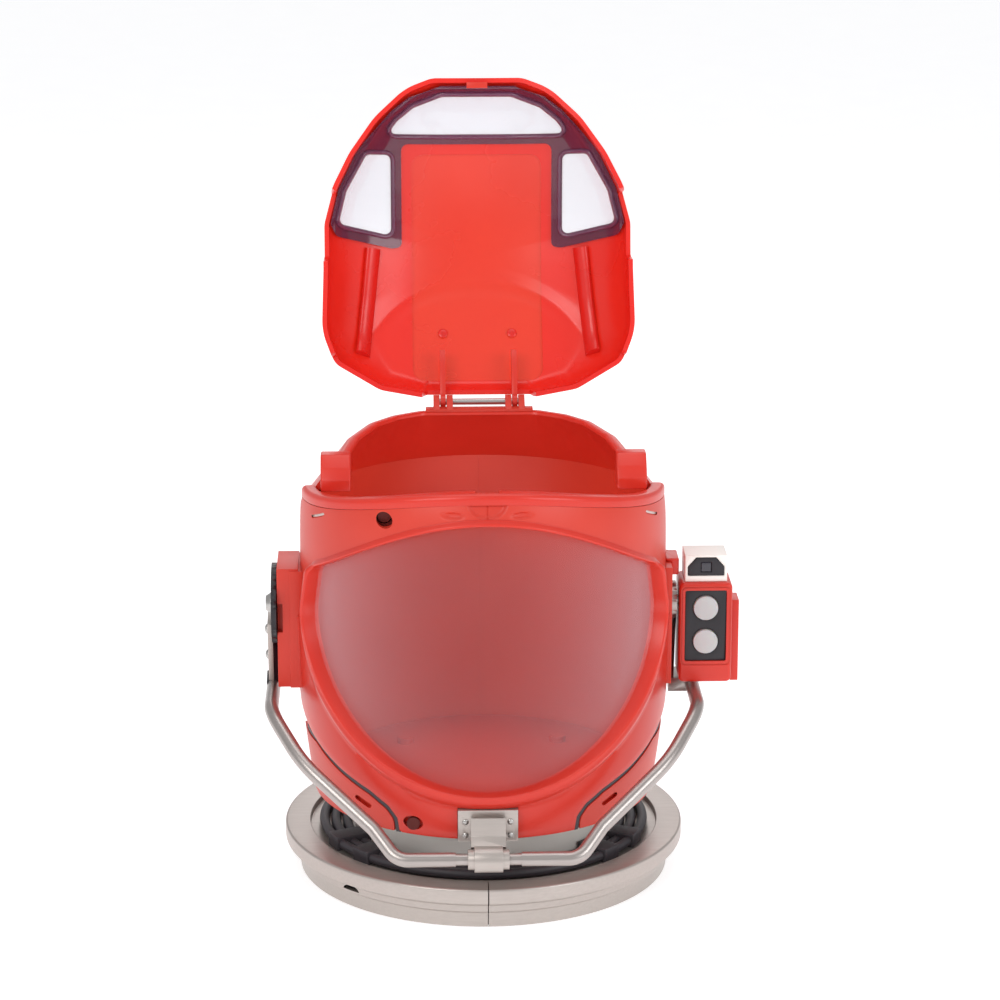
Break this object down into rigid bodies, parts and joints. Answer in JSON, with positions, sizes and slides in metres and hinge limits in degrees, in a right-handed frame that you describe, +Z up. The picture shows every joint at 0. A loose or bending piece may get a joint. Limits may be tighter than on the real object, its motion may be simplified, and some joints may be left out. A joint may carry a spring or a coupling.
{
  "type": "helmet-shaped popcorn vessel",
  "caption": "Thin-walled popcorn vessel shaped like a space helmet, with a hinged crown lid, clear visor, swinging bail with a chin latch and a side lamp.",
  "frame": {"origin": "centre of the base ring's underside, on the surface that the vessel stands on", "axes": "+Z up, -Y towards the visor (the front), +X towards the lamp"},
  "size_m": [0.2246, 0.2336, 0.3607],
  "materials": {
    "shell_red": "satin moulded, orange red",
    "trim_red": "glossy moulded, brighter red",
    "silver_plastic": "silver painted plastic, warm",
    "silver_tube": "silver paint on tube",
    "neck_white": "pale grey moulded",
    "hose_black": "dark satin",
    "base_grey": "fine texture",
    "clear_pane": "clear gloss",
    "smoked_pane": "smoked, slightly violet",
    "black_plastic": "fine satin",
    "camera_white": "off-white, satin",
    "camera_glass": "dark gloss",
    "lamp_frost": "frosted lens",
    "board_green": "solder mask",
    "cell_steel": "nickel plated",
    "spring_steel": "bright",
    "fastener_steel": "zinc plated"
  },
  "bodies": {
    "root": {"base_ring_left": "silver_plastic", "base_ring_right": "silver_plastic", "base_plate": "base_grey", "base_screws": "fastener_steel", "hose_inner": "hose_black", "hose_middle": "hose_black", "hose_outer": "hose_black", "hose_couplings": "hose_black", "neck_collar": "neck_white", "neck_screws": "fastener_steel", "bucket_floor": "shell_red", "floor_screws": "fastener_steel", "shell_left": "shell_red", "shell_right": "shell_red", "rim_collar": "trim_red", "face_frame": "trim_red", "visor": "clear_pane", "shell_screws": "fastener_steel", "cheek_panel_left": "shell_red", "cheek_panel_right": "shell_red", "cheek_seal_left": "hose_black", "cheek_seal_right": "hose_black", "hinge_bracket": "shell_red", "hinge_pin": "fastener_steel", "ear_block_left": "shell_red", "ear_block_right": "shell_red", "pivot_pin_left": "fastener_steel", "pivot_pin_right": "fastener_steel", "latch_plate": "silver_plastic", "latch_rivets": "fastener_steel", "lamp_bracket": "trim_red", "lamp_housing": "trim_red", "lamp_cover": "trim_red", "lamp_screws": "fastener_steel", "lamp_face": "black_plastic", "button_springs": "spring_steel", "circuit_board": "board_green", "battery_cells": "cell_steel", "side_guard": "trim_red", "camera_block": "camera_white", "camera_face": "black_plastic", "camera_window": "camera_glass"},
    "lid": {"lid_shell": "trim_red", "window_insert": "smoked_pane", "snap_tab": "trim_red", "hinge_strap_left": "trim_red", "hinge_strap_right": "trim_red"},
    "bail": {"bail_hub_left": "black_plastic", "bail_arm_right": "silver_tube", "bail_plate_left": "silver_plastic", "bail_rivets": "fastener_steel", "bail_tube_left": "silver_tube", "bail_tube_right": "silver_tube", "bail_sleeve": "silver_tube"},
    "buckle": {"latch_buckle": "silver_plastic"},
    "upper_button": {"lamp_button_upper": "lamp_frost"},
    "lower_button": {"lamp_button_lower": "lamp_frost"}
  },
  "joints": [
    {"name": "lid_hinge", "type": "hinge", "parent": "root", "child": "lid", "pos_m": [0, 0.077, 0.2065], "axis": [1, 0, 0], "range_deg": [0, 102]},
    {"name": "bail_swing", "type": "hinge", "parent": "root", "child": "bail", "pos_m": [0, 0, 0.12892], "axis": [-1, 0, 0], "range_deg": [0, 134]},
    {"name": "buckle_pivot", "type": "hinge", "parent": "bail", "child": "buckle", "pos_m": [0, -0.095, 0.036], "axis": [1, 0, 0], "range_deg": [0, 100]},
    {"name": "upper_button_press", "type": "slide", "parent": "root", "child": "upper_button", "axis": [0, 1, 0], "range_m": [0, 0.0012], "stiffness_N_per_m": 400, "springref_m": -0.0005},
    {"name": "lower_button_press", "type": "slide", "parent": "root", "child": "lower_button", "axis": [0, 1, 0], "range_m": [0, 0.0012], "stiffness_N_per_m": 400, "springref_m": -0.0005}
  ]
}
